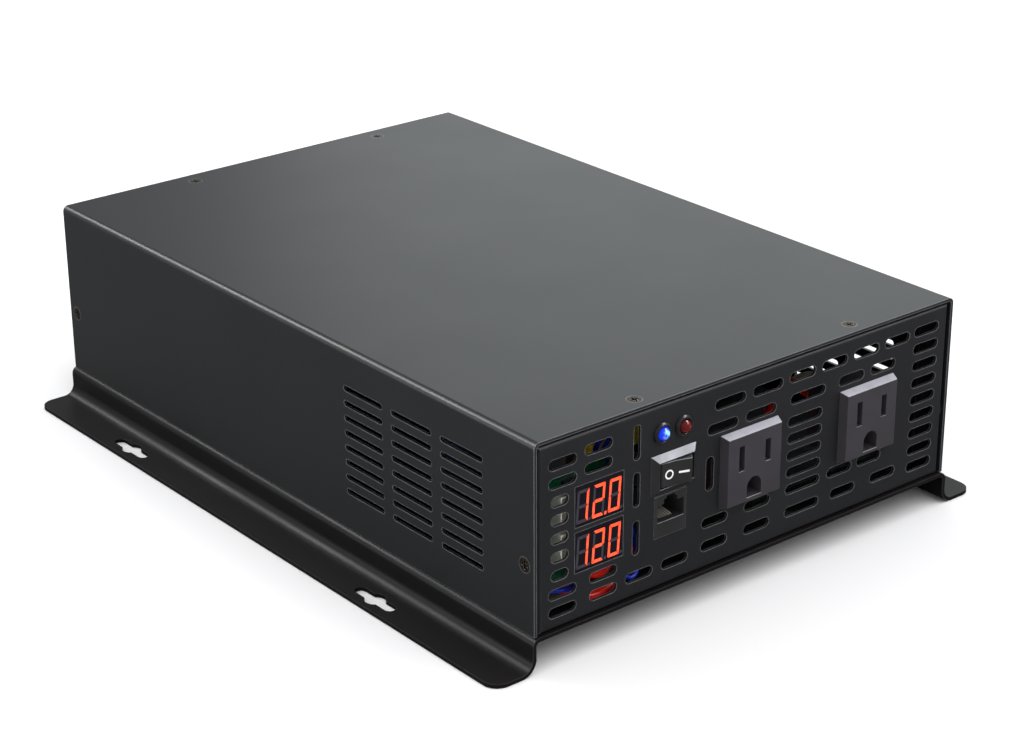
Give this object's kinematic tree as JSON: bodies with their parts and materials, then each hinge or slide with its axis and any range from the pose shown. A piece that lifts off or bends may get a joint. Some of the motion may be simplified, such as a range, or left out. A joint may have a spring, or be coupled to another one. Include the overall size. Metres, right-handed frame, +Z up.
{
  "type": "power inverter",
  "caption": "Flanged steel-cased power inverter with mains outlets, meters and a rocker switch in front, and fans and battery studs behind.",
  "frame": {"origin": "centre of the footprint, on the surface the mounting flanges stand on", "axes": "+X to the right seen from the front panel, +Y to the back, +Z up"},
  "size_m": [0.238, 0.3328, 0.085],
  "materials": {
    "base_paint": "satin black powder coat",
    "black_plastic": "moulded",
    "blue_lens": "tinted epoxy, lit",
    "blue_wire": "insulation",
    "bus_capacitor_sleeve": "shrunk sleeve",
    "capacitor_sleeve": "shrunk sleeve",
    "choke_paint": "epoxy coat",
    "circuit_board": "green solder mask",
    "clip_plastic": "moulded black",
    "contact_brass": "plain",
    "copper": "copper, enamelled or plain",
    "cover_paint": "satin dark grey powder coat",
    "dark_screw": "blackened steel",
    "display_face": "smoked",
    "fan_plastic": "glass-filled",
    "ferrite": "sintered",
    "fish_paper": "varnished paper",
    "fuse_plastic": "translucent",
    "guard_chrome": "plated wire",
    "heatsink_aluminium": "extruded",
    "outlet_plastic": "dark grey moulded",
    "package_resin": "moulded epoxy",
    "panel_paint": "satin black powder coat",
    "red_lens": "tinted epoxy",
    "red_plastic": "moulded",
    "red_wire": "insulation",
    "switch_plastic": "moulded black",
    "tinned_metal": "nickel plated",
    "white_nylon": "natural nylon",
    "white_wire": "insulation",
    "yellow_tape": "polyester tape"
  },
  "bodies": {
    "case": {"top_cover": "cover_paint", "base_plate": "base_paint", "front_panel": "panel_paint", "rear_panel": "panel_paint", "cover_screws": "dark_screw", "side_screws": "dark_screw", "base_screws": "dark_screw", "ac_outlet_left": "outlet_plastic", "ac_outlet_right": "outlet_plastic", "outlet_contacts_left": "contact_brass", "outlet_contacts_right": "contact_brass", "rocker_housing": "switch_plastic", "rocker_terminals": "tinned_metal", "led_clip_power": "clip_plastic", "led_clip_fault": "clip_plastic", "power_led": "blue_lens", "fault_led": "red_lens", "dc_display": "display_face", "ac_display": "display_face", "meter_board": "circuit_board", "meter_header": "white_nylon", "meter_chips": "package_resin", "remote_jack": "switch_plastic", "jack_contacts": "contact_brass", "main_board": "circuit_board", "board_standoffs": "contact_brass", "board_screws": "tinned_metal", "insulating_sheet": "fish_paper", "heatsink_left": "heatsink_aluminium", "heatsink_right": "heatsink_aluminium", "input_transistors": "package_resin", "output_transistors": "package_resin", "transistor_clamps": "heatsink_aluminium", "clamp_screws": "tinned_metal", "transformer_cores": "ferrite", "transformer_windings": "yellow_tape", "choke_core": "choke_paint", "choke_winding": "copper", "input_capacitors": "capacitor_sleeve", "bus_capacitors": "bus_capacitor_sleeve", "blade_fuses": "fuse_plastic", "alarm_buzzer": "package_resin", "fan_frame_left": "fan_plastic", "fan_frame_right": "fan_plastic", "fan_stators": "copper", "fan_guards": "guard_chrome", "fan_screws": "dark_screw", "stud_positive": "contact_brass", "stud_negative": "contact_brass", "stud_base_positive": "red_plastic", "stud_base_negative": "black_plastic", "stud_nuts": "tinned_metal", "bus_bars": "copper", "ground_screw": "contact_brass", "live_wires": "red_wire", "neutral_wires": "white_wire", "signal_wires": "blue_wire"},
    "rocker": {"rocker_button": "switch_plastic"},
    "rotor_left": {"fan_rotor_left": "fan_plastic"},
    "rotor_right": {"fan_rotor_right": "fan_plastic"}
  },
  "joints": [
    {"name": "rocker_tilt", "type": "hinge", "parent": "case", "child": "rocker", "pos_m": [-0.0388, -0.16037, 0.057], "axis": [0, 0, 1], "range_deg": [0, 26]},
    {"name": "fan_left_spin", "type": "hinge", "parent": "case", "child": "rotor_left", "pos_m": [-0.062, 0.12773, 0.04815], "axis": [0, 1, 0], "continuous": true},
    {"name": "fan_right_spin", "type": "hinge", "parent": "case", "child": "rotor_right", "pos_m": [0.062, 0.12773, 0.04815], "axis": [0, 1, 0], "continuous": true}
  ]
}
